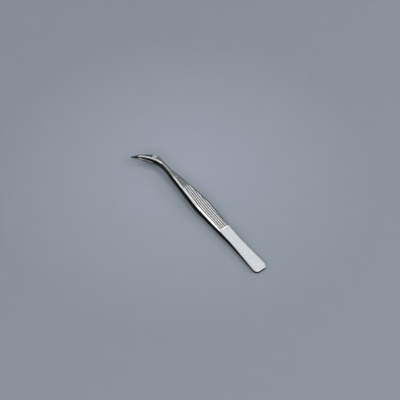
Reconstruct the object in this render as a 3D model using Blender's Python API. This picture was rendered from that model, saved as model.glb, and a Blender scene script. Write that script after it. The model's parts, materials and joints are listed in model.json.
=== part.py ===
"""Angled-tip tweezers with fluted grips.

Two steel arms, mirror images of each other, are welded together at the heel and spring apart towards
the tips. A guide pin fixed in the upper arm slides in a hole of the lower one.

Frame: +X runs from the heel to the tips, +Z is up and the tips bend towards +Y. The tweezers lie on
the lower arm's outer face, which is flat from the heel to the middle of the grip. The origin is on
that face, at x = REST_POINT of the arm frame described below.

Each arm is drawn in the arm frame: x along the handle, y across, and z out from the plane midway
between the arms. The heel's end is at x = HEEL_END. The lower arm is the same shape with z turned over.
"""
import math

import bmesh
import bpy
import numpy as np
from mathutils import Euler, Matrix, Vector

NAME = "angled_tip_tweezers"

# Plan of an arm. A station s is a distance along the handle, starting at HEEL_END.
HEEL_END = 0.0008
HEEL_WIDTH = 0.0113
HEEL_CORNER = 0.0036
WAIST_WIDTH = 0.0091
WAIST_AT = 0.0335
GRIP_WIDTH = 0.0111
GRIP_PEAK = 0.0745
FLUTE_FRONT_WIDTH = 0.0078
NECK_WIDTH = 0.0027
NECK_OFFSET = 0.0005
NECK_AT = 0.1220

# In front of the neck, each edge of an arm is a path with rounded corners to the tip.
OUTER_BEND = (0.1360, -0.00135)
OUTER_BEND_RADIUS = 0.0014
INNER_BEND = (0.1310, 0.00190)
INNER_BEND_RADIUS = 0.0200
OUTER_HOOK = (0.1460, 0.00970)
INNER_HOOK = (0.1441, 0.01090)
HOOK_RADIUS = 0.0140
OUTER_TIP = (0.14960, 0.01620)
INNER_TIP = (0.14915, 0.01660)
ARM_LENGTH = 0.1555

# Profile of an arm, as heights from the plane midway between the arms.
HEEL_HEIGHT = 0.0013
GRIP_HEIGHT = 0.0041
FLUTE_FRONT_HEIGHT = 0.0040
SHANK_HEIGHT = 0.0037
BEND_HEIGHT = 0.00355
BEND_AT = 0.1340
CREST_HEIGHT = 0.0038
CREST_AT = 0.1385
TIP_HEIGHT = 0.0008
WELD_GAP = 0.0003
WELD_LENGTH = 0.0125
TIP_GAP = 0.0007

# The resting face: straight from the heel's end to the peak of the grip.
RISE = (GRIP_HEIGHT - HEEL_HEIGHT) / GRIP_PEAK
RESTING_TILT = math.atan(RISE)
REST_POINT = 0.0070

# Flutes of the grip. In front of the peak they run at a slant, along the arm's +Y edge.
FLUTE_REAR = 0.0463
FLUTE_FRONT = 0.0966
FLUTE_PITCH = 0.00165
FLUTE_DEPTH = 0.00030
FLUTE_HALF_WIDTH = 0.00045
FLUTE_COUNT = 5
FLUTE_SLANT = 0.100
FRONT_RAMP = 0.0005

# Beside the rear ends of the flutes, the bevels of the edges turn from small to large.
SMALL_BEVEL_TO = 0.0456
LARGE_BEVEL_FROM = 0.0470

# Teeth of the jaws.
TOOTH_COUNT = 10
TOOTH_PITCH = 0.0008
TOOTH_DEPTH = 0.00012
TOOTH_SETBACK = 0.0010

# Guide pin and the holes that it stands in.
PIN_AT = 0.1096
PIN_RADIUS = 0.0005
PIN_CLEARANCE = 0.00025
PIN_ENGAGEMENT = 0.0005
PIN_SIDES = 24

# The place where the heel piece and the springing arm part.
HINGE_AT = 0.0135
FLEX_GAP = 0.0003

OVERCUT = 0.0004
ARC_STEPS = 12

STEEL = (0.62, 0.63, 0.65, 1.0)
SATIN_STEEL = (0.74, 0.75, 0.77, 1.0)

WIDTHS = [
    (0.0, HEEL_WIDTH),
    (WAIST_AT, WAIST_WIDTH),
    (0.055, 0.0103),
    (GRIP_PEAK, GRIP_WIDTH),
    (0.0895, 0.0090),
    (FLUTE_FRONT, FLUTE_FRONT_WIDTH),
    (0.1082, 0.0057),
    (0.1170, 0.0033),
    (NECK_AT, NECK_WIDTH),
]
FRONT_HEIGHTS = [
    (FLUTE_FRONT, FLUTE_FRONT_HEIGHT),
    (FLUTE_FRONT + FRONT_RAMP, SHANK_HEIGHT),
    (NECK_AT, SHANK_HEIGHT),
    (BEND_AT, BEND_HEIGHT),
    (CREST_AT, CREST_HEIGHT),
    (0.1470, 0.0027),
    (ARM_LENGTH, TIP_HEIGHT),
]
INNER_HEIGHTS = [
    (WELD_LENGTH, WELD_GAP / 2),
    (0.030, 0.00095),
    (FLUTE_REAR, 0.00145),
    (GRIP_PEAK, 0.00210),
    (FLUTE_FRONT, 0.00185),
    (BEND_AT, 0.00145),
    (ARM_LENGTH, TIP_GAP / 2),
]
BEVEL_WIDTHS = [
    (0.0, 0.00070),
    (SMALL_BEVEL_TO, 0.00075),
    (LARGE_BEVEL_FROM, 0.00100),
    (0.058, 0.00140),
    (0.072, 0.00130),
    (FLUTE_FRONT, 0.00115),
    (0.108, 0.00105),
    (0.117, 0.00092),
    (0.130, 0.00075),
    (ARM_LENGTH - 0.008, 0.00060),
    (ARM_LENGTH, 0.00026),
]
BEVEL_DEPTHS = [
    (0.0, 0.00020),
    (SMALL_BEVEL_TO, 0.00022),
    (LARGE_BEVEL_FROM, 0.00058),
    (0.058, 0.00084),
    (0.070, 0.00075),
    (0.078, 0.00060),
    (FLUTE_FRONT, 0.00060),
    (0.108, 0.00062),
    (0.117, 0.00066),
    (0.130, 0.00072),
    (ARM_LENGTH - 0.008, 0.00064),
    (ARM_LENGTH, 0.00026),
]
UNDERCUTS = [
    (WELD_LENGTH, 0.0),
    (0.055, 0.00030),
    (0.100, 0.00035),
    (NECK_AT, 0.00035),
    (ARM_LENGTH, 0.00010),
]
NECK_OFFSETS = [(0.106, 0.0), (0.116, NECK_OFFSET), (NECK_AT, NECK_OFFSET)]


def smooth(points, s):
    """Value at s of a smooth curve through (s, value) points, level at its ends, never overshooting."""
    secants = [(b[1] - a[1]) / (b[0] - a[0]) for a, b in zip(points, points[1:])]
    inner = [0.0 if p * q <= 0 else 2 * p * q / (p + q) for p, q in zip(secants, secants[1:])]
    slopes = [0.0] + inner + [0.0]
    if s <= points[0][0]:
        return points[0][1]
    if s >= points[-1][0]:
        return points[-1][1]
    i = max(k for k in range(len(points) - 1) if points[k][0] <= s)
    (s0, v0), (s1, v1) = points[i], points[i + 1]
    step = s1 - s0
    t = (s - s0) / step
    return (
        v0 * (1 + 2 * t) * (1 - t) ** 2
        + slopes[i] * step * t * (1 - t) ** 2
        + v1 * t * t * (3 - 2 * t)
        + slopes[i + 1] * step * t * t * (t - 1)
    )


def rounded_path(corners, radii):
    """Points along a path that turns left at each corner with the given radius, with their distances."""
    corners = [Vector(c) for c in corners]
    points = [corners[0]]
    for before, corner, after, radius in zip(corners, corners[1:], corners[2:], radii):
        heading = (corner - before).normalized()
        turn = heading.angle(after - corner)
        start = corner - heading * radius * math.tan(turn / 2)
        middle = start + Vector((-heading.y, heading.x)) * radius
        for n in range(ARC_STEPS + 1):
            points.append(middle + Matrix.Rotation(turn * n / ARC_STEPS, 2) @ (start - middle))
    points.append(corners[-1])
    distances = [0.0]
    for a, b in zip(points, points[1:]):
        distances.append(distances[-1] + (b - a).length)
    return points, distances


def along(path, share):
    """Point of a path at a share of its length."""
    points, distances = path
    there = share * distances[-1]
    return Vector([np.interp(there, distances, [p[axis] for p in points]) for axis in (0, 1)])


OUTER_EDGE = rounded_path(
    [(NECK_AT, -NECK_WIDTH / 2), OUTER_BEND, OUTER_HOOK, OUTER_TIP], [OUTER_BEND_RADIUS, HOOK_RADIUS]
)
INNER_EDGE = rounded_path(
    [(NECK_AT, NECK_WIDTH / 2 + NECK_OFFSET), INNER_BEND, INNER_HOOK, INNER_TIP],
    [INNER_BEND_RADIUS, HOOK_RADIUS],
)


def edges(s):
    """The two edges of an arm in plan, outside and inside of the bend."""
    if s > NECK_AT:
        share = (s - NECK_AT) / (ARM_LENGTH - NECK_AT)
        return along(OUTER_EDGE, share), along(INNER_EDGE, share)
    half = smooth(WIDTHS, s) / 2
    before_end = min(HEEL_END + HEEL_CORNER - s, HEEL_CORNER)
    if before_end > 0:
        half -= HEEL_CORNER - math.sqrt(HEEL_CORNER ** 2 - before_end ** 2)
    return Vector((s, -half)), Vector((s, half + smooth(NECK_OFFSETS, s)))


def half_width(s):
    outside, inside = edges(s)
    return (inside - outside).length / 2


def across(s, offset, z):
    """Point at an offset from the middle of the arm, positive towards the inside of the bend."""
    outside, inside = edges(s)
    flat = (outside + inside) / 2 + (inside - outside).normalized() * offset
    return Vector((flat.x, flat.y, z))


def outer_height(s):
    """Height of an arm's outer face: straight to the grip's peak, then down to the tip."""
    if s <= GRIP_PEAK:
        return HEEL_HEIGHT + RISE * s
    if s <= FLUTE_FRONT:
        fall = (FLUTE_FRONT_HEIGHT - GRIP_HEIGHT) / (FLUTE_FRONT - GRIP_PEAK)
        return GRIP_HEIGHT + fall * (s - GRIP_PEAK)
    return smooth(FRONT_HEIGHTS, s)


def inner_height(s):
    """Height of an arm's inner face: flat in the weld, then away from the other arm."""
    return smooth(INNER_HEIGHTS, s)


def section(s):
    """Cross-section of an arm: flat inside, sides leaning in towards it and bevelled outer edges."""
    w, low, high = half_width(s), inner_height(s), outer_height(s)
    bevel, drop = smooth(BEVEL_WIDTHS, s), smooth(BEVEL_DEPTHS, s)
    far_side = [(smooth(UNDERCUTS, s) - w, low), (-w, high - drop), (-w + bevel, high)]
    near_side = [(-y, z) for y, z in reversed(far_side)]
    return [across(s, y, z) for y, z in far_side + near_side]


def stations(start, end):
    """Places along an arm where its section is drawn."""
    corner = [HEEL_END + HEEL_CORNER * (1 - math.cos(math.radians(a))) for a in range(0, 91, 15)]
    handle = [0.001 * n for n in range(6, 121, 4)]
    marks = [HINGE_AT, SMALL_BEVEL_TO, LARGE_BEVEL_FROM, GRIP_PEAK, FLUTE_FRONT]
    marks += [FLUTE_FRONT + FRONT_RAMP, NECK_AT, CREST_AT]
    bend = [0.001 * n for n in range(124, 155, 1)]
    kept = [start]
    for s in sorted(corner + handle + marks + bend):
        if kept[-1] + 0.0004 < s < end - 0.0004:
            kept.append(s)
    return kept + [end]


def loft(rings):
    """Closed mesh through rings of equal length, capped at both ends."""
    bm = bmesh.new()
    loops = [[bm.verts.new(p) for p in ring] for ring in rings]
    for a, b in zip(loops, loops[1:]):
        for i in range(len(a)):
            j = (i + 1) % len(a)
            bm.faces.new((a[i], a[j], b[j], b[i]))
    bm.faces.new(loops[0])
    bm.faces.new(loops[-1])
    bmesh.ops.recalc_face_normals(bm, faces=bm.faces)
    return bm


def collection(name):
    made = bpy.data.collections.new(name)
    bpy.context.scene.collection.children.link(made)
    return made


def material(name, colour, roughness):
    made = bpy.data.materials.new(name)
    made.use_nodes = True
    shader = made.node_tree.nodes["Principled BSDF"]
    shader.inputs["Base Color"].default_value = colour
    shader.inputs["Metallic"].default_value = 1.0
    shader.inputs["Roughness"].default_value = roughness
    return made


def mesh_object(name, bm, group, parent, origin, side=1):
    """Object from a mesh drawn in the arm frame; side -1 turns it over for the lower arm."""
    turned = Vector((1, 1, side))
    for vert in bm.verts:
        vert.co = (vert.co - origin) * turned
    if side < 0:
        bmesh.ops.reverse_faces(bm, faces=bm.faces)
    mesh = bpy.data.meshes.new(name)
    bm.to_mesh(mesh)
    bm.free()
    made = bpy.data.objects.new(name, mesh)
    made.location = origin * turned
    made.parent = parent
    group.objects.link(made)
    return made


def cutter(name, bm, side):
    made = mesh_object(name, bm, cutters, frame, Vector((0, 0, 0)), side)
    made.hide_render = True
    made.display_type = "WIRE"
    return made


def cut(target, tool):
    change = target.modifiers.new(tool.name, "BOOLEAN")
    change.operation = "DIFFERENCE"
    change.object = tool


def groove(points, way):
    """V-shaped cutter along points on the outer face; way is the direction that the V opens in."""
    rings = []
    for point in points:
        spread = Vector(way) * FLUTE_HALF_WIDTH * (1 + OVERCUT / FLUTE_DEPTH)
        top = point + Vector((0, 0, OVERCUT))
        rings.append([point - Vector((0, 0, FLUTE_DEPTH)), top + spread, top - spread])
    return loft(rings)


def flute(index):
    """One flute: straight behind the grip's peak and slanting in front of it."""
    y = index * FLUTE_PITCH
    end = FLUTE_FRONT + 2 * FRONT_RAMP
    rear = Vector((FLUTE_REAR, y, outer_height(FLUTE_REAR)))
    peak = Vector((GRIP_PEAK, y, GRIP_HEIGHT))
    front = Vector((end, y - FLUTE_SLANT * (end - GRIP_PEAK), FLUTE_FRONT_HEIGHT))
    points = [rear, peak, front] if abs(index) <= FLUTE_COUNT // 2 else [peak, front]
    return groove(points, (0, 1, 0))


def rear_line():
    """The line across the arm where the flutes begin."""
    z = outer_height(FLUTE_REAR)
    ends = [Vector((FLUTE_REAR, y, z)) for y in (-GRIP_WIDTH, GRIP_WIDTH)]
    return groove(ends, (1, 0, 0))


def tooth_gap(index):
    """One V-shaped groove across the inner face of a jaw."""
    s = ARM_LENGTH - TOOTH_SETBACK - index * TOOTH_PITCH
    reach = 1.5 * half_width(s)
    spread = TOOTH_PITCH / 2.6 * (1 + OVERCUT / TOOTH_DEPTH)
    low, top = inner_height(s) - OVERCUT, inner_height(s) + TOOTH_DEPTH
    forward = (across(s, 0, 0) - across(s - TOOTH_PITCH, 0, 0)).normalized() * spread
    rings = []
    for y in (-reach, reach):
        base = across(s, y, low)
        rings.append([across(s, y, top), base - forward, base + forward])
    return loft(rings)


def bar(radius, low, high):
    """Round bar upright in the arm frame at the pin's place."""
    angles = [2 * math.pi * n / PIN_SIDES for n in range(PIN_SIDES)]
    ring = [(PIN_AT + radius * math.cos(a), radius * math.sin(a)) for a in angles]
    return loft([[Vector((x, y, z)) for x, y in ring] for z in (low, high)])


def heel(name, side, steel):
    """The welded end of an arm."""
    shape = loft([section(s) for s in stations(HEEL_END, HINGE_AT - FLEX_GAP / 2)])
    made = mesh_object(name, shape, parts, frame, Vector((0, 0, 0)), side)
    made.data.materials.append(steel)


def arm(name, side, steel):
    """The springing length of an arm, with its origin on the axis that it flexes about."""
    shape = loft([section(s) for s in stations(HINGE_AT + FLEX_GAP / 2, ARM_LENGTH)])
    made = mesh_object(name, shape, parts, frame, HINGE, side)
    made.data.materials.append(steel)
    half_count = FLUTE_COUNT // 2
    for index in range(-half_count, half_count + 2):
        cut(made, cutter(f"{name}_flute_{index + half_count}", flute(index), side))
    cut(made, cutter(f"{name}_rear_line", rear_line(), side))
    for index in range(TOOTH_COUNT):
        cut(made, cutter(f"{name}_tooth_gap_{index}", tooth_gap(index), side))
    hole = bar(PIN_RADIUS + PIN_CLEARANCE, 0.0, 2 * GRIP_HEIGHT)
    cut(made, cutter(f"{name}_pin_hole", hole, side))


def guide_pin(name, steel):
    """Pin flush with the upper arm's outer face, its free end just inside the lower arm's hole."""
    free_end = -inner_height(PIN_AT) - PIN_ENGAGEMENT
    made = mesh_object(name, bar(PIN_RADIUS, free_end, outer_height(PIN_AT)), parts, frame, HINGE)
    made.data.materials.append(steel)
    made.data.shade_smooth()
    made.data.set_sharp_from_angle(angle=math.radians(40))


for old in list(bpy.data.objects):
    bpy.data.objects.remove(old, do_unlink=True)

parts = collection(NAME)
cutters = collection("cutters")

HINGE = Vector((HINGE_AT, 0, (inner_height(HINGE_AT) + outer_height(HINGE_AT)) / 2))

frame = bpy.data.objects.new("rest_frame", None)
parts.objects.link(frame)
frame.rotation_euler = Euler((0, -RESTING_TILT, 0))
rest_point = Vector((REST_POINT, 0, -outer_height(REST_POINT)))
frame.location = -(frame.rotation_euler.to_matrix() @ rest_point)

heel("upper_heel", 1, material("satin_steel_upper_heel", SATIN_STEEL, 0.35))
heel("lower_heel", -1, material("satin_steel_lower_heel", SATIN_STEEL, 0.35))
arm("upper_arm", 1, material("polished_steel_upper_arm", STEEL, 0.15))
arm("lower_arm", -1, material("polished_steel_lower_arm", STEEL, 0.15))
guide_pin("guide_pin", material("polished_steel_guide_pin", STEEL, 0.2))
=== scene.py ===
"""Looks of the angled-tip tweezers: two sprung steel arms, welded at the heel, and their guide pin.

Each arm is one lofted strip, drawn in the arm frame in millimetres: x along the handle, y across
it towards the side that the tips bend to, and z out from the plane midway between the arms. A
station s is a distance along the arm from x = 0, and the steel begins at HEEL_END. The lower arm
is the upper one's mirror image in that plane. Angles are in degrees, and the studio is in metres.
"""
import json
import math

import bpy
import numpy as np
from mathutils import Matrix, Vector


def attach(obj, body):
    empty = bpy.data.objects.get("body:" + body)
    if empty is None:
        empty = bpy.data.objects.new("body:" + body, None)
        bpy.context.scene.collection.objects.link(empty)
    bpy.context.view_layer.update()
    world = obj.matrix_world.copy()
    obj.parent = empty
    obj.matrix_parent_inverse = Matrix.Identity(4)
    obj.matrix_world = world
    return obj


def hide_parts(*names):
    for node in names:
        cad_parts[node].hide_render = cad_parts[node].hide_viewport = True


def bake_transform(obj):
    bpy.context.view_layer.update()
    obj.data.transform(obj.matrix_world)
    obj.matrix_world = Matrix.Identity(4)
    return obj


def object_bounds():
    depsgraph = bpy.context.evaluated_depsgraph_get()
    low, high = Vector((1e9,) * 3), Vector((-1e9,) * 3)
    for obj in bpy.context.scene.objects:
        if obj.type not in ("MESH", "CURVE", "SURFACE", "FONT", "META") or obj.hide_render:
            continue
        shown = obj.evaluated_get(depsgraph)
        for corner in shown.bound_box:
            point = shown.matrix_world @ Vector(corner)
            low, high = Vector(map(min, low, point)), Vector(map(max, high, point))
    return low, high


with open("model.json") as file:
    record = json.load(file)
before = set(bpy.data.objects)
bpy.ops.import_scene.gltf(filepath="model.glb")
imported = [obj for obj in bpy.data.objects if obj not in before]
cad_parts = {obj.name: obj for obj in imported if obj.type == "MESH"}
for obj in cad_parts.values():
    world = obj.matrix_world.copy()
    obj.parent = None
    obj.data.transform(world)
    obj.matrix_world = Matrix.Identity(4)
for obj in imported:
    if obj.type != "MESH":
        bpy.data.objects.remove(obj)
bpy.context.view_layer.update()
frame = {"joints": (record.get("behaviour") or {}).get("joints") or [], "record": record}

MM = 0.001

# Plan of an arm. The corners of the bend and the hook are (x, y) points.
HEEL_WIDTH = 11.3
HEEL_CORNER = 3.6
HEEL_END = 0.8
WAIST_AT = 33.5
GRIP_PEAK = 74.5
NECK_WIDTH = 2.7
NECK_OFFSET = 0.5
NECK_AT = 122.0
OUTER_BEND = (136.0, -1.35)
OUTER_BEND_RADIUS = 1.4
INNER_BEND = (131.0, 1.90)
INNER_BEND_RADIUS = 20.0
OUTER_HOOK = (146.0, 9.70)
INNER_HOOK = (144.1, 10.90)
HOOK_RADIUS = 14.0
OUTER_TIP = (149.6, 16.2)
INNER_TIP = (149.15, 16.6)
ARM_LENGTH = 155.5
NOSE_LENGTH = 0.35
NOSE_TAPER = 0.92
ARC_STEPS = 24

# Profile of an arm.
HEEL_HEIGHT = 1.3
GRIP_HEIGHT = 4.1
SHANK_HEIGHT = 3.7
BEND_AT = 134.0
CREST_AT = 138.5
TIP_HEIGHT = 0.8
TIP_GAP = 0.7
WELD_SEAM = 0.03
WELD_LENGTH = 12.5
EDGE_RADIUS = 0.16
SMALL_BEVEL_TO = 45.6
LARGE_BEVEL_FROM = 47.0
# The largest share of half an arm's width that its outer edge, and its inner edge, may take up.
OUTER_EDGE_SHARE = 0.95
INNER_EDGE_SHARE = 0.5

# Flutes of the grip.
FLUTE_REAR = 46.3
FLUTE_FRONT = 96.6
FLUTE_PITCH = 1.65
FLUTE_DEPTH = 0.27
FLUTE_SLANT = 0.1
FLUTE_COUNT = 5
FLUTE_SHARPNESS = 1.2
FLUTE_START_LENGTH = 0.4
FLUTE_FADE = 0.25
REAR_LINE_WIDTH = 0.9
REAR_LINE_DEPTH = 0.2
FRONT_RAMP = 0.5

# Teeth of the jaws.
TOOTH_COUNT = 10
TOOTH_PITCH = 0.8
TOOTH_DEPTH = 0.12
TOOTH_SETBACK = 1.0
TOOTH_GAP_HALF = TOOTH_PITCH / 2.6

# Guide pin.
PIN_AT = 109.6
PIN_RADIUS = 0.5
PIN_SEAM = 0.05
PIN_CLEARANCE = 0.25
PIN_ENGAGEMENT = 0.5
PIN_DOME = 0.06
PIN_FREE_ROUNDING = 0.2
PIN_SIDES = 48
PIN_ARC_STEPS = 8
PIN_ARC_END = 6

# Where an arm springs.
HINGE_AT = 13.5

# Where an arm's finish changes, and where painted shade darkens its heel's end, inner rims, tip and
# jaw.
HEEL_FACE_TO = HEEL_END + 0.8 * EDGE_RADIUS
FACET_END = 137.4
BRIGHT_RIM_FROM = BEND_AT + 2
TIP_SHADE_FROM = 148.5
TIP_SHADE_LENGTH = 1.5
JAW_SHADE = 0.6
JAW_SHADE_FADE = 0.1

# Steps between stations, and points in some stretches.
REAR_STEP = 1.5
FLUTE_STEP = 0.4
SHANK_STEP = 0.8
BEND_STEP = 0.35
JAW_STEP = 0.2
SMALLEST_STEP = 0.008
CORNER_STATIONS = 13
LINE_STATIONS = 24
RAMP_STATIONS = 16

# Columns of an arm's section.
FACE_COLUMNS = 90
EDGE_STEPS = 5
SLOPE_STEPS = 4
CREASE_STEPS = 6
SIDE_STEPS = 4
INNER_COLUMNS = 14
GIRTH_STEP = 0.12
SHARP_ANGLE = 35

# Curves along an arm, through (station, value) points.
WIDTHS = [
    (0.0, HEEL_WIDTH),
    (WAIST_AT, 9.1),
    (55.0, 10.3),
    (GRIP_PEAK, 11.1),
    (89.5, 9.0),
    (FLUTE_FRONT, 7.8),
    (108.2, 5.7),
    (117.0, 3.3),
    (NECK_AT, NECK_WIDTH),
]
NECK_OFFSETS = [(106.0, 0.0), (116.0, NECK_OFFSET), (NECK_AT, NECK_OFFSET)]
FRONT_HEIGHTS = [
    (FLUTE_FRONT, 4.0),
    (FLUTE_FRONT + FRONT_RAMP, SHANK_HEIGHT),
    (NECK_AT, SHANK_HEIGHT),
    (BEND_AT, 3.55),
    (CREST_AT, 3.8),
    (147.0, 2.7),
    (ARM_LENGTH, TIP_HEIGHT),
]
INNER_HEIGHTS = [
    (WELD_LENGTH, WELD_SEAM / 2),
    (30.0, 0.95),
    (FLUTE_REAR, 1.45),
    (GRIP_PEAK, 2.10),
    (FLUTE_FRONT, 1.85),
    (BEND_AT, 1.45),
    (ARM_LENGTH, TIP_GAP / 2),
]
BEVEL_WIDTHS = [
    (0.0, 0.70),
    (SMALL_BEVEL_TO, 0.75),
    (LARGE_BEVEL_FROM, 1.00),
    (58.0, 1.40),
    (72.0, 1.30),
    (FLUTE_FRONT, 1.15),
    (108.0, 1.05),
    (117.0, 0.92),
    (130.0, 0.75),
    (ARM_LENGTH - 8.0, 0.60),
    (ARM_LENGTH, 0.26),
]
BEVEL_DEPTHS = [
    (0.0, 0.20),
    (SMALL_BEVEL_TO, 0.22),
    (LARGE_BEVEL_FROM, 0.58),
    (58.0, 0.84),
    (70.0, 0.75),
    (78.0, 0.60),
    (FLUTE_FRONT, 0.60),
    (108.0, 0.62),
    (117.0, 0.66),
    (130.0, 0.72),
    (ARM_LENGTH - 8.0, 0.64),
    (ARM_LENGTH, 0.26),
]
UNDERCUTS = [
    (0.0, 0.0),
    (WELD_LENGTH, 0.0),
    (55.0, 0.3),
    (100.0, 0.35),
    (NECK_AT, 0.35),
    (ARM_LENGTH, 0.1),
]
INNER_RADII = [
    (0.0, 0.12),
    (112.0, 0.12),
    (130.0, 0.5),
    (142.0, 0.5),
    (150.0, 0.25),
    (ARM_LENGTH, 0.12),
]
CREASE_WIDTHS = [
    (0.0, 0.05),
    (60.0, 0.12),
    (112.0, 0.12),
    (128.0, 0.18),
    (ARM_LENGTH, 0.12),
]


def smooth(points, s):
    """Values at s of a smooth curve through (s, value) points, level at its ends, no overshoot."""
    places, values = np.array(points, float).T
    steps = np.diff(places)
    secants = np.diff(values) / steps
    product = secants[:-1] * secants[1:]
    total = np.where(product > 0, secants[:-1] + secants[1:], 1.0)
    slopes = np.concatenate(([0.0], np.where(product > 0, 2 * product / total, 0.0), [0.0]))
    s = np.clip(s, places[0], places[-1])
    i = np.clip(np.searchsorted(places, s, side="right") - 1, 0, len(steps) - 1)
    t = (s - places[i]) / steps[i]
    return (
        values[i] * (1 + 2 * t) * (1 - t) ** 2
        + slopes[i] * steps[i] * t * (1 - t) ** 2
        + values[i + 1] * t * t * (3 - 2 * t)
        + slopes[i + 1] * steps[i] * t * t * (t - 1)
    )


def rounded_path(corners, radii):
    """Points of a path turning left at each corner with its radius, and how far along each is."""
    corners = [Vector(c) for c in corners]
    points = [corners[0]]
    for before, corner, after, radius in zip(corners, corners[1:], corners[2:], radii):
        heading = (corner - before).normalized()
        turn = heading.angle(after - corner)
        start = corner - heading * radius * math.tan(turn / 2)
        middle = start + Vector((-heading.y, heading.x)) * radius
        for n in range(ARC_STEPS + 1):
            points.append(middle + Matrix.Rotation(turn * n / ARC_STEPS, 2) @ (start - middle))
    points.append(corners[-1])
    points = np.array(points)
    lengths = np.linalg.norm(np.diff(points, axis=0), axis=1)
    return points, np.concatenate(([0.0], np.cumsum(lengths)))


# The edges of an arm in plan from the neck to the tip, outside and inside of the bend.
OUTER_EDGE = rounded_path(
    [(NECK_AT, -NECK_WIDTH / 2), OUTER_BEND, OUTER_HOOK, OUTER_TIP],
    [OUTER_BEND_RADIUS, HOOK_RADIUS],
)
INNER_EDGE = rounded_path(
    [(NECK_AT, NECK_WIDTH / 2 + NECK_OFFSET), INNER_BEND, INNER_HOOK, INNER_TIP],
    [INNER_BEND_RADIUS, HOOK_RADIUS],
)


def edges(s):
    """The two edges of an arm in plan at stations s, outside and inside of the bend."""
    half = smooth(WIDTHS, s) / 2
    corner = np.clip(HEEL_END + HEEL_CORNER - s, 0, HEEL_CORNER)
    half = half - HEEL_CORNER + np.sqrt(HEEL_CORNER ** 2 - corner ** 2)
    share = np.clip((s - NECK_AT) / (ARM_LENGTH - NECK_AT), 0, 1)
    found = []
    for side, (points, distances) in ((-1, OUTER_EDGE), (1, INNER_EDGE)):
        path = [np.interp(share * distances[-1], distances, points[:, axis]) for axis in (0, 1)]
        x = np.where(s > NECK_AT, path[0], s)
        straight = side * half + (side > 0) * smooth(NECK_OFFSETS, s)
        y = np.where(s > NECK_AT, path[1], straight)
        found.append(np.stack((x, y), axis=-1))
    return found


def outer_height(s):
    """Height of an arm's outer face: straight to the grip's peak, then down to the tip."""
    rear = HEEL_HEIGHT + (GRIP_HEIGHT - HEEL_HEIGHT) * s / GRIP_PEAK
    fall = FRONT_HEIGHTS[0][1] - GRIP_HEIGHT
    middle = GRIP_HEIGHT + fall * (s - GRIP_PEAK) / (FLUTE_FRONT - GRIP_PEAK)
    front = smooth(FRONT_HEIGHTS, s)
    return np.where(s < GRIP_PEAK, rear, np.where(s < FLUTE_FRONT, middle, front))


def ramp(x, softness):
    """0 below zero and x above it, turning smoothly within softness on each side."""
    turning = (x + softness) ** 2 / (4 * softness)
    return np.where(x <= -softness, 0.0, np.where(x >= softness, x, turning))


def round_off(d, radius):
    """How far a rounded edge falls away at distance d inside it."""
    inside = np.clip(radius - d, 0, radius)
    return radius - np.sqrt(radius ** 2 - inside ** 2)


def inset(s, y, half):
    """Distance of (s, y) inside an arm's outline, going round the heel's corners."""
    to_side = half - np.abs(y)
    past_y = np.abs(y) - (HEEL_WIDTH / 2 - HEEL_CORNER)
    past_x = HEEL_END + HEEL_CORNER - s
    in_corner = (past_y > 0) & (past_x > 0)
    round_corner = HEEL_CORNER - np.hypot(past_x, past_y)
    return np.where(in_corner, round_corner, np.minimum(to_side, s - HEEL_END))


def flute_cut(s, y, margin):
    """Depth of the flutes at (s, y), margin inside the bevel. They slant in front of the peak."""
    lane = (y + FLUTE_SLANT * np.clip(s - GRIP_PEAK, 0, None)) / FLUTE_PITCH
    wave = (0.5 + 0.5 * np.cos(2 * math.pi * lane)) ** FLUTE_SHARPNESS
    reach = FLUTE_COUNT // 2 + 0.5
    kept = (lane > -reach) & (lane < reach + (s > GRIP_PEAK))
    along = np.clip((s - FLUTE_REAR - REAR_LINE_WIDTH) / FLUTE_START_LENGTH, 0, 1)
    along = along * (s < FLUTE_FRONT + FRONT_RAMP)
    return FLUTE_DEPTH * wave * kept * along * np.clip(margin / FLUTE_FADE, 0, 1)


def rear_line_cut(s):
    """Depth of the line across the arm where the flutes begin."""
    across_line = np.abs(s - FLUTE_REAR) / (REAR_LINE_WIDTH / 2)
    return REAR_LINE_DEPTH * np.clip(1 - across_line, 0, 1)


TOOTH_GAPS = [ARM_LENGTH - TOOTH_SETBACK - index * TOOTH_PITCH for index in range(TOOTH_COUNT)]


def tooth_cut(s):
    """Depth of the V-shaped gaps between the teeth on the jaw's inner face."""
    depth = np.zeros_like(s)
    for gap in TOOTH_GAPS:
        cut = TOOTH_DEPTH * np.clip(1 - np.abs(s - gap) / TOOTH_GAP_HALF, 0, 1)
        depth = np.maximum(depth, cut)
    return depth


def stations():
    """Places along an arm where its section is drawn, close together where the shape changes.

    The stretches stop a little before the next one starts, so that no step is a sliver.
    """
    quarter = np.radians(np.linspace(0, 90, CORNER_STATIONS))
    groups = [
        HEEL_END + EDGE_RADIUS * (1 - np.cos(quarter[::2])),
        HEEL_END + HEEL_CORNER * (1 - np.cos(quarter)),
        np.arange(HEEL_END + HEEL_CORNER, FLUTE_REAR - 1, REAR_STEP),
        np.linspace(FLUTE_REAR - 0.7, FLUTE_REAR + 1.6, LINE_STATIONS),
        np.arange(FLUTE_REAR + 2, FLUTE_FRONT - 0.3, FLUTE_STEP),
        [GRIP_PEAK],
        np.linspace(FLUTE_FRONT - 0.2, FLUTE_FRONT + FRONT_RAMP + 0.2, RAMP_STATIONS),
        np.arange(FLUTE_FRONT + 1.2, NECK_AT, SHANK_STEP),
        np.arange(NECK_AT, ARM_LENGTH - 9.5, BEND_STEP),
        np.arange(ARM_LENGTH - 9.3, ARM_LENGTH - 0.5, JAW_STEP),
        ARM_LENGTH - NOSE_LENGTH * (1 - np.sin(quarter)),
    ]
    for gap in TOOTH_GAPS:
        groups.append([gap - TOOTH_GAP_HALF, gap, gap + TOOTH_GAP_HALF])
    ordered = np.sort(np.concatenate([np.array(g, float) for g in groups]))
    kept = [ordered[0]]
    for s in ordered[1:]:
        if s - kept[-1] > SMALLEST_STEP:
            kept.append(s)
    return np.array(kept)


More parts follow.
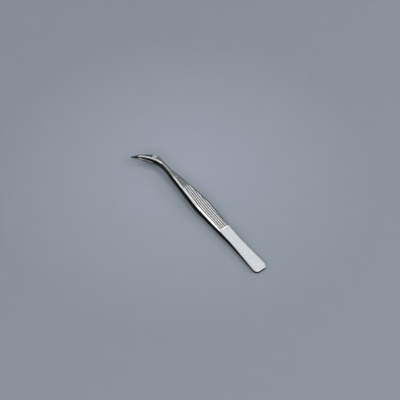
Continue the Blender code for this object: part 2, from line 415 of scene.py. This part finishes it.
def strip_points():
    """An arm's surface: rings of points, their stations, how much painted shade darkens each, and
    faces on a bevel.

    A ring goes over the outer face from the bend's outside to its inside, and back underneath.
    """
    s = stations()[:, None]
    outer_edge, inner_edge = edges(s[:, 0])
    half = np.linalg.norm(inner_edge - outer_edge, axis=1)[:, None] / 2
    bevel, drop = smooth(BEVEL_WIDTHS, s), smooth(BEVEL_DEPTHS, s)
    crease = smooth(CREASE_WIDTHS, s)

    # Outer face; margin is how far the points of an edge, bevel and crease are from the side.
    quarter = np.radians(np.linspace(0, 90, EDGE_STEPS + 1))[None, :]
    rounding = np.repeat(EDGE_RADIUS * (1 - np.cos(quarter)), len(s), axis=0)
    slope_share = np.linspace(0, 1, SLOPE_STEPS + 1)[None, 1:]
    slope = EDGE_RADIUS + (bevel - crease - EDGE_RADIUS) * slope_share
    turn = bevel - crease + 2 * crease * np.linspace(0, 1, CREASE_STEPS + 1)[None, 1:]
    margin = np.concatenate((rounding, slope, turn), axis=1)
    margin = np.minimum(margin, OUTER_EDGE_SHARE * half)
    flat = half - margin[:, -1:]
    face = np.linspace(-1, 1, FACE_COLUMNS + 1)[None, 1:-1] * flat
    y_outer = np.concatenate((margin - half, face, (half - margin)[:, ::-1]), axis=1)
    d = inset(s, y_outer, half)
    fall = drop / bevel * ramp(bevel - d, crease) + round_off(d, EDGE_RADIUS)
    high = outer_height(s)
    z_outer = np.minimum(high - fall, high - flute_cut(s, y_outer, d - bevel) - rear_line_cut(s))

    # Inner face.
    low = smooth(INNER_HEIGHTS, s)
    inner_radius = smooth(INNER_RADII, s)
    inner_round = inner_radius * (1 - np.cos(quarter))
    inner_half = half - smooth(UNDERCUTS, s)
    inner_margin = np.minimum(inner_round, INNER_EDGE_SHARE * inner_half)
    inner_flat = inner_half - inner_margin[:, -1:]
    inner_face = np.linspace(1, -1, INNER_COLUMNS + 1)[None, 1:-1] * inner_flat
    inner_sides = inner_half - inner_margin
    y_inner = np.concatenate((inner_sides, inner_face, -inner_sides[:, ::-1]), axis=1)
    d_inner = inset(s, y_inner, inner_half)
    z_inner = low + round_off(d_inner, inner_radius) + tooth_cut(s)

    # The whole ring, with the sides between the two faces.
    share = np.linspace(0, 1, SIDE_STEPS + 1)[None, 1:-1]
    z_down = z_outer[:, -1:] + (z_inner[:, :1] - z_outer[:, -1:]) * share
    z_up = z_inner[:, -1:] + (z_outer[:, :1] - z_inner[:, -1:]) * share
    side = half + (inner_half - half) * share
    y = np.concatenate((y_outer, side, y_inner, -side[:, ::-1]), axis=1)
    z = np.concatenate((z_outer, z_down, z_inner, z_up), axis=1)

    # The nose, where the ring shrinks towards its middle.
    nose = np.clip((s - ARM_LENGTH + NOSE_LENGTH) / NOSE_LENGTH, 0, 1)
    squeeze = np.sqrt(np.clip(1 - NOSE_TAPER * nose ** 2, 0, 1))
    axis_z = (high + low) / 2
    y = y * squeeze
    z = axis_z + (z - axis_z) * squeeze

    # The bend in plan.
    middle = (outer_edge + inner_edge) / 2
    lateral = (inner_edge - outer_edge) / (2 * half)
    x = middle[:, :1] + lateral[:, :1] * y
    flat_y = middle[:, 1:] + lateral[:, 1:] * y

    # Painted shade is 1 in the deepest grooves and at the tip, and less on the jaw's outer face.
    cut = (high - fall - z_outer) / FLUTE_DEPTH
    painted_shade = np.clip((s - TIP_SHADE_FROM) / TIP_SHADE_LENGTH, 0, 1) * np.ones_like(y)
    jaw = JAW_SHADE * np.clip(s - FACET_END, 0, 1)
    jaw = jaw * np.clip((d - bevel - crease) / JAW_SHADE_FADE, 0, 1)
    outer = painted_shade[:, : y_outer.shape[1]]
    outer[:] = np.maximum(outer, np.clip(cut, 0, 1) + jaw)
    inward = (d - bevel)[:-1] + (d - bevel)[1:]
    on_bevel = (inward[:, :-1] + inward[:, 1:] < 0) & (s[:-1] > HEEL_END + HEEL_CORNER)
    return np.stack((x, flat_y, z), axis=-1), s[:, 0], painted_shade, on_bevel


# The arm frame in the world, from the record: where the hinges are and how the heel's faces lean.
joints = {joint["name"]: joint for joint in frame["joints"]}
mounts = {mount["name"]: mount for mount in frame["record"]["mounts"]}
upper_hinge = Vector(joints["upper_arm_flex"]["pos_m"])
lower_hinge = Vector(joints["lower_arm_flex"]["pos_m"])
face_axis = Vector(mounts["upper_heel_face"]["axis"])
TILT = math.atan2(-face_axis.x, face_axis.z) / 2
TURN = Matrix.Rotation(-TILT, 3, "Y")
ORIGIN = (upper_hinge + lower_hinge) / 2 - TURN @ Vector((HINGE_AT * MM, 0, 0))


def to_world(points, side=1):
    """Arm-frame points in millimetres as world points; side -1 mirrors them for the lower arm."""
    points = np.array(points, float) * (1, 1, side) * MM
    return points @ np.array(TURN).T + np.array(ORIGIN)


def mesh_object(name, points, faces, materials, face_slots=None):
    """An object in the scene; face_slots are the numbers of its faces' materials."""
    mesh = bpy.data.meshes.new(name)
    mesh.from_pydata([tuple(p) for p in points], [], [tuple(f) for f in faces])
    for material in materials:
        mesh.materials.append(material)
    if face_slots is not None:
        mesh.polygons.foreach_set("material_index", np.array(face_slots, np.int32))
    mesh.validate()
    made = bpy.data.objects.new(name, mesh)
    bpy.context.scene.collection.objects.link(made)
    return made


def joined_rings(rows, columns):
    """Faces that join closed rings of points, rows of them, and the first and the last ring."""
    index = np.arange(rows * columns).reshape(rows, columns)
    around = np.roll(index, -1, axis=1)
    quads = np.stack((index[:-1], around[:-1], around[1:], index[1:]), axis=-1).reshape(-1, 4)
    return [list(q) for q in quads], list(index[0]), list(index[-1])


def shade(made):
    made.data.shade_smooth()
    made.data.set_sharp_from_angle(angle=math.radians(SHARP_ANGLE))


# ---------------------------------------------------------------- materials

NOISE_DETAIL = 3.0
BLOTCH_SCALE = 0.9
# Amount of painted shade where the steel starts to darken, and where it is darkest.
SHADE_FROM = 0.25
SHADE_TO = 0.95


def node(tree, kind, values=(), **settings):
    """A new node; values are for its inputs, each a plain value or another node's output."""
    made = tree.nodes.new(kind)
    for name, value in settings.items():
        setattr(made, name, value)
    for name, value in dict(values).items():
        if isinstance(value, bpy.types.NodeSocket):
            tree.links.new(value, made.inputs[name])
        else:
            made.inputs[name].default_value = value
    return made


def spread(tree, value, low, high, from_min=0.3, from_max=0.7):
    """value, mostly between from_min and from_max, brought to the range low to high."""
    made = node(
        tree,
        "ShaderNodeMapRange",
        {"Value": value, "From Min": from_min, "From Max": from_max, "To Min": low, "To Max": high},
    )
    return made.outputs["Result"]


def mix(tree, factor, first, second):
    """The colour first where factor is 0, and second where it is 1."""
    values = {"Factor": factor, "A": first, "B": second}
    return node(tree, "ShaderNodeMix", values, data_type="RGBA").outputs["Result"]


def noise(tree, place, scale, roughness):
    made = node(
        tree,
        "ShaderNodeTexNoise",
        {"Vector": place, "Scale": scale, "Detail": NOISE_DETAIL, "Roughness": roughness},
    )
    return made.outputs["Fac"]


def stretched(tree, place, scale):
    return node(tree, "ShaderNodeMapping", {"Vector": place, "Scale": scale}).outputs["Vector"]


def steel(name, dark, light, gloss, grain, grain_depth, shade_colour=None):
    """Steel in blotches from dark to light, darkening towards a painted shade colour where the
    mesh's painted shade is high.

    gloss is the range of its roughness, grain the scale of the grain's noise along and around the
    arm, and grain_depth its depth in millimetres.
    """
    made = bpy.data.materials.new(name)
    made.use_nodes = True
    tree = made.node_tree
    shader = tree.nodes["Principled BSDF"]
    shader.inputs["Metallic"].default_value = 1.0
    place = node(tree, "ShaderNodeUVMap", uv_map="strip").outputs["UV"]
    lines = noise(tree, stretched(tree, place, grain), 1.0, roughness=0.6)
    blotches = noise(tree, place, BLOTCH_SCALE, roughness=0.55)
    colour = mix(tree, spread(tree, blotches, 0.0, 1.0), dark, light)
    if shade_colour:
        # Painted shade from the mesh: dark in the grooves, at the tip and on the jaw's outer face.
        painted_shade = node(tree, "ShaderNodeAttribute", attribute_name="painted_shade").outputs["Fac"]
        share = spread(tree, painted_shade, 0.0, 1.0, SHADE_FROM, SHADE_TO)
        colour = mix(tree, share, colour, shade_colour)
    tree.links.new(colour, shader.inputs["Base Color"])
    tree.links.new(spread(tree, lines, *gloss), shader.inputs["Roughness"])
    relief = {"Height": lines, "Distance": grain_depth * MM, "Strength": 1.0}
    bump = node(tree, "ShaderNodeBump", relief)
    tree.links.new(bump.outputs["Normal"], shader.inputs["Normal"])
    return made


def grey(value, blue=1.02):
    """A grey whose blue is value times blue."""
    return (value, value * (1 + blue) / 2, value * blue, 1.0)


STEELS = [
    steel(
        "satin_steel",
        dark=grey(0.47, 1.08),
        light=grey(0.68, 1.08),
        gloss=(0.34, 0.44),
        grain=(6.0, 9.0, 1.0),
        grain_depth=0.004,
    ),
    steel(
        "polished_steel",
        dark=grey(0.58),
        light=grey(0.64),
        gloss=(0.09, 0.15),
        grain=(0.3, 9.0, 1.0),
        grain_depth=0.0008,
        # Painted shade, mostly at the tip and on the jaw's outer face.
        shade_colour=grey(0.05),
    ),
    steel(
        "fluted_steel",
        dark=grey(0.60),
        light=grey(0.66),
        gloss=(0.2, 0.3),
        grain=(0.3, 7.0, 1.0),
        grain_depth=0.001,
        # Painted shade in the flutes' grooves.
        shade_colour=grey(0.12),
    ),
    # Ground steel, nearly black: painted shade on the sides, the inner faces, the heel's end and
    # the pin's hole, where shade falls beside and between the arms.
    steel(
        "ground_steel_painted_shade",
        dark=grey(0.04),
        light=grey(0.06),
        gloss=(0.25, 0.4),
        grain=(0.4, 14.0, 1.0),
        grain_depth=0.003,
    ),
    steel(
        "ground_facet",
        dark=grey(0.33),
        light=grey(0.40),
        gloss=(0.24, 0.32),
        grain=(4.0, 8.0, 1.0),
        grain_depth=0.002,
    ),
    # Darker ground steel: painted shade on the bevel outside the bend beside the flutes.
    steel(
        "ground_edge_painted_shade",
        dark=grey(0.22),
        light=grey(0.27),
        gloss=(0.2, 0.3),
        grain=(0.3, 9.0, 1.0),
        grain_depth=0.001,
    ),
]
SATIN, POLISHED, FLUTED, GROUND_SHADE, FACET, EDGE = range(len(STEELS))

# ---------------------------------------------------------------- arms and guide pin


def face_steels(s, columns, on_bevel):
    """The steel of each face between an arm's rings, as numbers in STEELS.

    Beside the flutes, the bevel on the outside of the bend has a ground finish of its own, darkened
    as painted shade; the sides, the inner faces and the heel's end are painted shade.
    """
    outer_columns = on_bevel.shape[1]
    place = np.broadcast_to(s[:-1, None], on_bevel.shape)
    face = np.where(place < FLUTE_REAR, SATIN, np.where(place < FLUTE_FRONT, FLUTED, POLISHED))
    face = np.where((place > BEND_AT) & (place < FACET_END), FACET, face)
    bevel = np.where(place < FLUTE_REAR, SATIN, POLISHED)
    outside = slice(outer_columns // 2)
    # Beside the flutes, the bevel outside the bend gets the darker ground edge: painted shade.
    bevel[:, outside] = np.where(face[:, outside] == FLUTED, EDGE, bevel[:, outside])

    # The sides and inner faces get painted shade.
    zone = np.full((len(s) - 1, columns), GROUND_SHADE)
    zone[:, :outer_columns] = np.where(on_bevel, bevel, face)
    rim = outer_columns + SIDE_STEPS
    other_rim = columns - SIDE_STEPS - EDGE_STEPS
    rims = np.r_[rim : rim + EDGE_STEPS, other_rim : other_rim + EDGE_STEPS]
    # Inner rims: painted shade short of the jaw, polished steel on it.
    zone[:, rims] = np.where(s[:-1, None] > BRIGHT_RIM_FROM, POLISHED, GROUND_SHADE)
    # The heel's end: painted shade.
    zone[s[:-1] < HEEL_FACE_TO] = GROUND_SHADE
    return zone


def arm(name, side):
    """One arm from the heel's end to the tip."""
    points, s, painted_shade, on_bevel = strip_points()
    rows, columns = points.shape[:2]
    faces, heel_end, tip_end = joined_rings(rows, columns)
    faces += [heel_end, tip_end[::-1]]
    # The heel's end cap gets painted shade, the tip's cap polished steel.
    slots = list(face_steels(s, columns, on_bevel).reshape(-1)) + [GROUND_SHADE, POLISHED]
    if side < 0:
        faces = [f[::-1] for f in faces]
    made = mesh_object(name, to_world(points.reshape(-1, 3), side), faces, STEELS, slots)
    mesh = made.data
    strip = mesh.uv_layers.new(name="strip")
    corners = np.empty(len(mesh.loops), np.int32)
    mesh.loops.foreach_get("vertex_index", corners)
    along = np.repeat(s, columns)[corners]
    girth = np.concatenate(([0], np.cumsum(np.full(columns - 1, GIRTH_STEP))))
    over = np.tile(girth, rows)[corners]
    strip.data.foreach_set("uv", np.stack((along, over), axis=-1).ravel())
    # Painted shade of each point.
    shade_attribute = mesh.attributes.new("painted_shade", "FLOAT", "POINT")
    shade_attribute.data.foreach_set("value", painted_shade.reshape(-1).astype(np.float32))
    return made


def bar(name, radii_heights, slot, side=1):
    """Round bar, upright in the arm frame at the pin's place, through (radius, height) points."""
    angles = 2 * math.pi * np.arange(PIN_SIDES) / PIN_SIDES
    rings = [
        np.stack((PIN_AT + r * np.cos(angles), r * np.sin(angles), np.full(PIN_SIDES, h)), axis=-1)
        for r, h in radii_heights
    ]
    faces, bottom, top = joined_rings(len(rings), PIN_SIDES)
    faces += [bottom[::-1], top]
    if side < 0:
        faces = [f[::-1] for f in faces]
    points = to_world(np.concatenate(rings), side)
    return mesh_object(name, points, faces, STEELS, [slot] * len(faces))


def drill(target, radius, side):
    """Cuts the guide pin's hole through an arm."""
    # The hole's wall takes the tool's painted shade.
    tool = bar(target.name + "_drill", [(radius, 0.0), (radius, 2 * GRIP_HEIGHT)], GROUND_SHADE, side)
    change = target.modifiers.new("hole", "BOOLEAN")
    change.operation = "DIFFERENCE"
    change.object = tool
    bpy.context.view_layer.update()
    evaluated = target.evaluated_get(bpy.context.evaluated_depsgraph_get())
    shape = bpy.data.meshes.new_from_object(evaluated)
    target.modifiers.clear()
    target.data = shape
    bpy.data.objects.remove(tool, do_unlink=True)


def guide_pin():
    """Pin pressed into the upper arm: a slightly domed head, flush with it, and a rounded end."""
    top = float(outer_height(np.array(PIN_AT)))
    end = -float(smooth(INNER_HEIGHTS, np.array(PIN_AT))) - PIN_ENGAGEMENT
    arc = np.radians(np.linspace(90, PIN_ARC_END, PIN_ARC_STEPS))
    head = [(PIN_RADIUS * math.sin(a), top - PIN_DOME + PIN_DOME * math.cos(a)) for a in arc]
    free = [
        (PIN_RADIUS * math.sin(a), end + PIN_FREE_ROUNDING * (1 - math.cos(a))) for a in arc[::-1]
    ]
    made = bar("guide_pin_steel", free + head, SATIN)
    strip = made.data.uv_layers.new(name="strip")
    for loop in made.data.loops:
        point = made.data.vertices[loop.vertex_index].co
        strip.data[loop.index].uv = (point.z / MM, (point.x + point.y) / MM)
    return made


for name, side, radius in (
    ("upper", 1, PIN_RADIUS + PIN_SEAM),
    ("lower", -1, PIN_RADIUS + PIN_CLEARANCE),
):
    strip = arm(f"{name}_arm_strip", side)
    drill(strip, radius, side)
    shade(strip)
    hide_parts(f"{name}_heel", f"{name}_arm")
    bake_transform(strip)

pin = guide_pin()
shade(pin)
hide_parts("guide_pin")
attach(pin, "upper_arm_body")

# ---------------------------------------------------------------- floor, light and camera

CENTRE = sum(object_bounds(), Vector()) / 2
VIEW_AZIMUTH = 232.83
VIEW_ELEVATION = 51.0
VIEW_DISTANCE = 0.8
VIEW_LENS = 91.08
VIEW_OFFSET = Vector((0.00634, -0.00812, -0.00117))
VIEW_NEAREST = 0.01
FLOOR_SIZE = 4.0
FLOOR_COLOUR = (0.221, 0.248, 0.285, 1)
FLOOR_ROUGHNESS = 0.8
FLOOR_SPECULAR = 0.1
# The painted pool of light is the lighter part of the floor, around a place a little beyond the
# tweezers.
LIGHT_POOL_COLOUR = (0.286, 0.321, 0.370, 1)
LIGHT_POOL_RADIUS = 0.16
LIGHT_POOL_AZIMUTH = -15
LIGHT_POOL_SHIFT = 0.05
MOTTLE = 0.05
MOTTLE_SCALE = 60.0
WORLD_COLOUR = (0.95, 0.98, 1.0, 1.0)
WORLD_STRENGTH = 0.18
LIGHT_DISTANCE = 3.0
# Power of an area light for each unit of its area and of its radiance.
POWER_PER_RADIANCE = 4

# Softboxes: azimuth, elevation, width, height and radiance.
SOFTBOXES = {
    "overhead": (40, 78, 2.0, 2.0, 0.33),
    "top_far": (20, 66, 1.6, 0.9, 1.29),
    "left_high": (-31, 57, 1.4, 1.1, 0.95),
    "left_middle": (-60, 56, 1.8, 1.4, 0.76),
    "left_near": (-98, 49, 1.0, 0.9, 1.38),
    "back_left": (-118, 32, 1.6, 0.9, 0.72),
    "back": (-155, 32, 1.9, 0.9, 0.87),
    "back_edge": (-173, 33, 1.6, 0.6, 4.8),
    "right_near": (130, 54, 1.8, 1.7, 2.46),
    "right_middle": (108, 44, 1.4, 1.2, 2.77),
    "right_low": (95, 26, 1.6, 0.8, 5.6),
}


def direction(azimuth, elevation):
    """Unit vector towards a place; azimuth 0 is ahead of the camera and 90 on its right."""
    turn = math.radians(VIEW_AZIMUTH - azimuth)
    rise = math.radians(elevation)
    level = math.cos(rise)
    return Vector((-math.sin(turn) * level, math.cos(turn) * level, math.sin(rise)))


def aim(made, towards):
    """Turns a camera or light so that it looks along a direction, with its top up."""
    made.rotation_euler = towards.to_track_quat("-Z", "Y").to_euler()


def softbox(name, azimuth, elevation, width, height, radiance):
    light = bpy.data.lights.new(name, "AREA")
    light.shape = "RECTANGLE"
    light.size = width
    light.size_y = height
    light.energy = radiance * POWER_PER_RADIANCE * width * height
    made = bpy.data.objects.new(name, light)
    bpy.context.scene.collection.objects.link(made)
    made.location = CENTRE + direction(azimuth, elevation) * LIGHT_DISTANCE
    aim(made, CENTRE - made.location)


def floor():
    """The paper that the tweezers lie on: a painted pool of light makes it lighter around them, and
    it is slightly mottled.
    """
    half = FLOOR_SIZE / 2
    corners = [(-half, -half, 0), (half, -half, 0), (half, half, 0), (-half, half, 0)]
    cover = bpy.data.materials.new("floor_paper")
    cover.use_nodes = True
    tree = cover.node_tree
    shader = tree.nodes["Principled BSDF"]
    place = node(tree, "ShaderNodeTexCoord").outputs["Object"]
    middle = CENTRE + direction(LIGHT_POOL_AZIMUTH, 0) * LIGHT_POOL_SHIFT
    near = [-value / LIGHT_POOL_RADIUS for value in (middle.x, middle.y, 0.0)]
    scale = (1 / LIGHT_POOL_RADIUS, 1 / LIGHT_POOL_RADIUS, 0.0)
    spot = node(tree, "ShaderNodeMapping", {"Vector": place, "Location": near, "Scale": scale})
    centred = {"Vector": spot.outputs["Vector"]}
    # Painted pool of light, lightest at its middle.
    light_pool = node(tree, "ShaderNodeTexGradient", centred, gradient_type="SPHERICAL").outputs["Fac"]
    mottle = spread(tree, noise(tree, place, MOTTLE_SCALE, roughness=0.5), -MOTTLE, MOTTLE)
    share = node(tree, "ShaderNodeMath", {0: light_pool, 1: mottle}, operation="ADD").outputs["Value"]
    colour = mix(tree, share, FLOOR_COLOUR, LIGHT_POOL_COLOUR)
    tree.links.new(colour, shader.inputs["Base Color"])
    shader.inputs["Roughness"].default_value = FLOOR_ROUGHNESS
    shader.inputs["Specular IOR Level"].default_value = FLOOR_SPECULAR
    made = mesh_object("floor", corners, [(0, 1, 2, 3)], [cover])


floor()
for name, placing in SOFTBOXES.items():
    softbox(name, *placing)

world = bpy.data.worlds.new("studio")
bpy.context.scene.world = world
world.use_nodes = True
background = world.node_tree.nodes["Background"]
background.inputs["Color"].default_value = WORLD_COLOUR
background.inputs["Strength"].default_value = WORLD_STRENGTH

camera = bpy.data.objects.new("camera", bpy.data.cameras.new("camera"))
bpy.context.scene.collection.objects.link(camera)
camera.data.lens = VIEW_LENS
camera.data.clip_start = VIEW_NEAREST
camera.location = CENTRE + VIEW_OFFSET + direction(180, VIEW_ELEVATION) * VIEW_DISTANCE
aim(camera, direction(0, -VIEW_ELEVATION))
bpy.context.scene.camera = camera
bpy.context.scene.view_settings.view_transform = "Standard"
